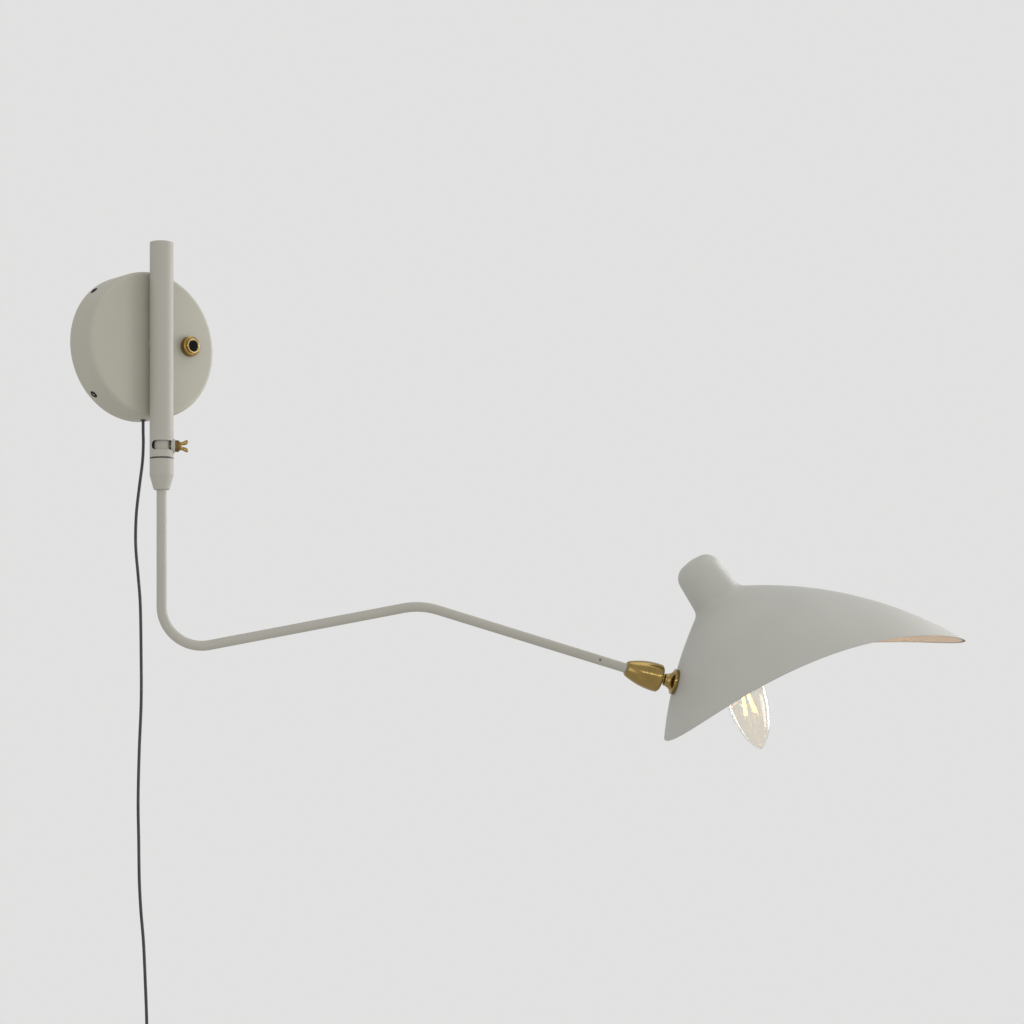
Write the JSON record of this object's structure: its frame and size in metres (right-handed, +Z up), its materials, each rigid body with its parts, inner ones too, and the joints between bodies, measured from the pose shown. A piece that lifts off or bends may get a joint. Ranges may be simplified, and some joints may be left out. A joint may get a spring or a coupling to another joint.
{
  "type": "swing arm wall sconce",
  "caption": "Wall lamp with a round canopy, an upright tube, a bent swinging arm and a ball-jointed shade with a neck on top and a candle bulb.",
  "frame": {"origin": "centre of the wall plate's back face, midway between its two wall screw holes", "axes": "+Y into the wall, so the lamp stands out toward -Y; +Z up; +X right along the wall"},
  "size_m": [0.6324, 0.4521, 0.7442],
  "materials": {
    "canopy_paint": "satin warm grey paint",
    "post_paint": "satin warm grey paint",
    "arm_paint": "satin warm grey paint",
    "shade_paint": "satin warm grey paint on spun aluminium",
    "brass": "brushed, lacquered",
    "zinc_steel": "zinc plated",
    "dark_steel": "blackened",
    "black_plastic": "gloss black",
    "nylon": "natural nylon",
    "cord_jacket": "matt dark grey",
    "holder_black": "matt black phenolic",
    "plug_black": "satin black",
    "glass": "clear",
    "bulb_metal": "nickel look",
    "filament": "yellow filament sticks on a clear stem"
  },
  "bodies": {
    "wall_unit": {"wall_bracket": "zinc_steel", "canopy": "canopy_paint", "canopy_screws": "dark_steel", "cord_bush": "black_plastic", "cord_clamp": "zinc_steel", "terminal_block": "nylon", "terminal_screws": "brass", "supply_leads": "cord_jacket", "switch_body": "brass", "switch_nut": "brass", "post_tube": "post_paint", "post_cap": "post_paint", "post_spacers": "post_paint", "post_nipple": "zinc_steel", "post_nut": "zinc_steel", "post_screws": "dark_steel", "upper_bush": "nylon", "lower_bush": "nylon", "thrust_washer": "black_plastic", "mains_cord": "cord_jacket", "cord_coil": "cord_jacket", "cord_tie": "black_plastic", "cord_tail": "cord_jacket", "plug_body": "plug_black", "plug_pins": "bulb_metal"},
    "push_button": {"switch_button": "black_plastic"},
    "swing_arm": {"arm_collar": "arm_paint", "arm_spigot": "arm_paint", "retaining_clip": "dark_steel", "arm_tube": "arm_paint", "arm_lead": "cord_jacket", "lock_saddle": "arm_paint", "swivel_barrel": "brass", "grub_screws": "dark_steel", "seat_spring": "zinc_steel", "socket_ring": "brass"},
    "lock_collar": {"lock_collar": "brass"},
    "wing_screw": {"wing_screw": "brass"},
    "ball_seat": {"ball_seat": "nylon"},
    "ball": {"ball": "brass"},
    "lamp_head": {"stud": "brass", "shade_flange": "brass", "shade": "shade_paint", "stud_washer": "zinc_steel", "stud_nut": "brass", "holder_bracket": "zinc_steel", "holder_nipple": "zinc_steel", "lamp_holder": "holder_black", "lamp_lead": "nylon", "bulb_cap": "bulb_metal", "bulb_glass": "glass", "bulb_stem": "filament"}
  },
  "joints": [
    {"name": "arm_swing", "type": "hinge", "parent": "wall_unit", "child": "swing_arm", "pos_m": [0, -0.0405, -0.0944], "axis": [0, 0, 1], "range_deg": [-126, 10]},
    {"name": "button_press", "type": "slide", "parent": "wall_unit", "child": "push_button", "axis": [0, 1, 0], "range_m": [0, 0.002], "stiffness_N_per_m": 600, "springref_m": -0.001},
    {"name": "screw_travel", "type": "slide", "parent": "swing_arm", "child": "lock_collar", "axis": [0.848, -0.5299, 0], "range_m": [0, 0.0015]},
    {"name": "screw_turn", "type": "hinge", "parent": "lock_collar", "child": "wing_screw", "pos_m": [0, -0.0405, -0.0843], "axis": [0.848, -0.5299, 0], "range_deg": [0, 541]},
    {"name": "seat_roll", "type": "hinge", "parent": "swing_arm", "child": "ball_seat", "pos_m": [0.346, -0.25671, -0.275], "axis": [0.8097, -0.5059, -0.2974], "range_deg": [-45, 45]},
    {"name": "shade_tilt", "type": "hinge", "parent": "ball_seat", "child": "ball", "pos_m": [0.346, -0.25671, -0.275], "axis": [0.6157, 0.788, 0], "range_deg": [-20, 26]},
    {"name": "shade_spin", "type": "hinge", "parent": "ball", "child": "lamp_head", "pos_m": [0.346, -0.25671, -0.275], "axis": [0.7636, -0.5966, -0.247], "range_deg": [-60, 60]}
  ],
  "couplings": [
    {"joint": "screw_turn", "follows": "screw_travel", "rad_per_m": 6283.2}
  ]
}
